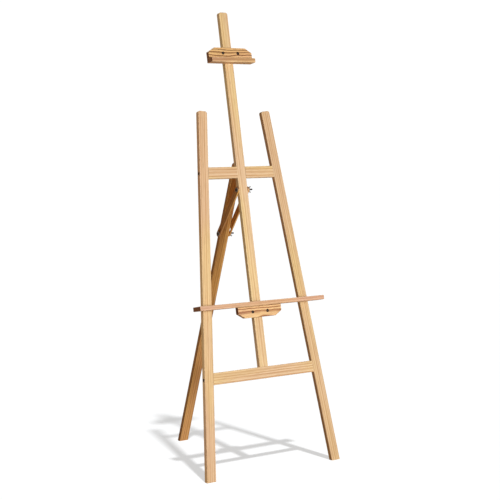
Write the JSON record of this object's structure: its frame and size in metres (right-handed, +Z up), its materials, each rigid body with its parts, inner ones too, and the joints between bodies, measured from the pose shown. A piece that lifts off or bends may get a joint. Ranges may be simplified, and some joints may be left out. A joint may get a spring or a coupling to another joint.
{
  "type": "artist easel",
  "caption": "Wooden artist easel with two splayed front legs, a central mast with canvas tray and top clamp, and a hinged rear leg held open by slotted braces.",
  "frame": {"origin": "on the floor, at the middle of the footprint's bounding box", "axes": "+Z up, +X to the painter's right along the crossbars, -Y towards the painter in front of the easel"},
  "size_m": [0.6322, 0.6556, 1.749],
  "materials": {
    "pine_frame": "clear satin oil over light pine",
    "pine_rear": "clear satin oil over darker pine",
    "pine_tray": "clear satin oil over pinkish pine",
    "beech_dowel": "raw beech",
    "hinge_steel": "plated, slightly dulled",
    "dark_steel": "black oxide",
    "zinc_steel": "bright zinc"
  },
  "bodies": {
    "frame": {"left_leg": "pine_frame", "right_leg": "pine_frame", "upper_crossbar": "pine_frame", "lower_crossbar": "pine_frame", "mast": "pine_frame", "crossbar_bolts": "dark_steel", "crossbar_barrel_nuts": "dark_steel", "crossbar_dowels": "beech_dowel", "mast_foot_screw": "zinc_steel", "hinge_frame_leaf": "hinge_steel", "hinge_pin": "hinge_steel", "hinge_frame_screws": "zinc_steel", "brace_upper_bolt": "dark_steel", "brace_upper_washers": "zinc_steel"},
    "rear_leg": {"rear_leg": "pine_rear", "hinge_leg_leaf": "hinge_steel", "hinge_leg_screws": "zinc_steel", "brace_lower_bolt": "dark_steel", "brace_lower_washers": "zinc_steel"},
    "brace": {"brace_left_slat": "pine_rear", "brace_right_slat": "pine_rear"},
    "tray": {"tray": "pine_tray", "tray_front_plate": "pine_tray", "tray_back_plate": "pine_tray", "tray_bolts": "dark_steel", "tray_washers": "zinc_steel", "tray_screws": "zinc_steel"},
    "clamp": {"clamp_ledge": "pine_tray", "clamp_front_plate": "pine_tray", "clamp_back_plate": "pine_tray", "clamp_bolts": "dark_steel", "clamp_washers": "zinc_steel", "clamp_screws": "zinc_steel"},
    "tray_left_wing_nut": {"tray_left_wing_nut": "zinc_steel"},
    "tray_right_wing_nut": {"tray_right_wing_nut": "zinc_steel"},
    "clamp_left_wing_nut": {"clamp_left_wing_nut": "zinc_steel"},
    "clamp_right_wing_nut": {"clamp_right_wing_nut": "zinc_steel"},
    "brace_upper_wing_nut": {"brace_upper_wing_nut": "zinc_steel"},
    "brace_lower_wing_nut": {"brace_lower_wing_nut": "zinc_steel"}
  },
  "joints": [
    {"name": "rear_leg_fold", "type": "hinge", "parent": "frame", "child": "rear_leg", "pos_m": [0, -0.08586, 1.14007], "axis": [-1, 0, 0], "range_deg": [0, 27.5]},
    {"name": "brace_swing", "type": "hinge", "parent": "frame", "child": "brace", "pos_m": [0, -0.11248, 1.06344], "axis": [-1, 0, 0], "range_deg": [0, 35.85]},
    {"name": "tray_slide", "type": "slide", "parent": "frame", "child": "tray", "axis": [0, 0.1908, 0.9816], "range_m": [-0.2, 0.225]},
    {"name": "clamp_slide", "type": "slide", "parent": "frame", "child": "clamp", "axis": [0, 0.1908, 0.9816], "range_m": [-0.385, 0.12]},
    {"name": "tray_left_wing_nut_turn", "type": "hinge", "parent": "tray", "child": "tray_left_wing_nut", "pos_m": [-0.035, -0.17651, 0.59251], "axis": [0, 0.9816, -0.1908], "continuous": true},
    {"name": "tray_right_wing_nut_turn", "type": "hinge", "parent": "tray", "child": "tray_right_wing_nut", "pos_m": [0.035, -0.17651, 0.59251], "axis": [0, 0.9816, -0.1908], "continuous": true},
    {"name": "clamp_left_wing_nut_turn", "type": "hinge", "parent": "clamp", "child": "clamp_left_wing_nut", "pos_m": [-0.035, 0.01535, 1.57954], "axis": [0, 0.9816, -0.1908], "continuous": true},
    {"name": "clamp_right_wing_nut_turn", "type": "hinge", "parent": "clamp", "child": "clamp_right_wing_nut", "pos_m": [0.035, 0.01535, 1.57954], "axis": [0, 0.9816, -0.1908], "continuous": true},
    {"name": "brace_upper_wing_nut_turn", "type": "hinge", "parent": "frame", "child": "brace_upper_wing_nut", "pos_m": [0.0278, -0.11248, 1.06344], "axis": [1, 0, 0], "continuous": true},
    {"name": "brace_lower_wing_nut_turn", "type": "hinge", "parent": "rear_leg", "child": "brace_lower_wing_nut", "pos_m": [0.0278, 0.01389, 0.88569], "axis": [1, 0, 0], "continuous": true}
  ],
  "couplings": [
    {"joint": "brace_swing", "follows": "rear_leg_fold", "ratio": 1.2963}
  ]
}
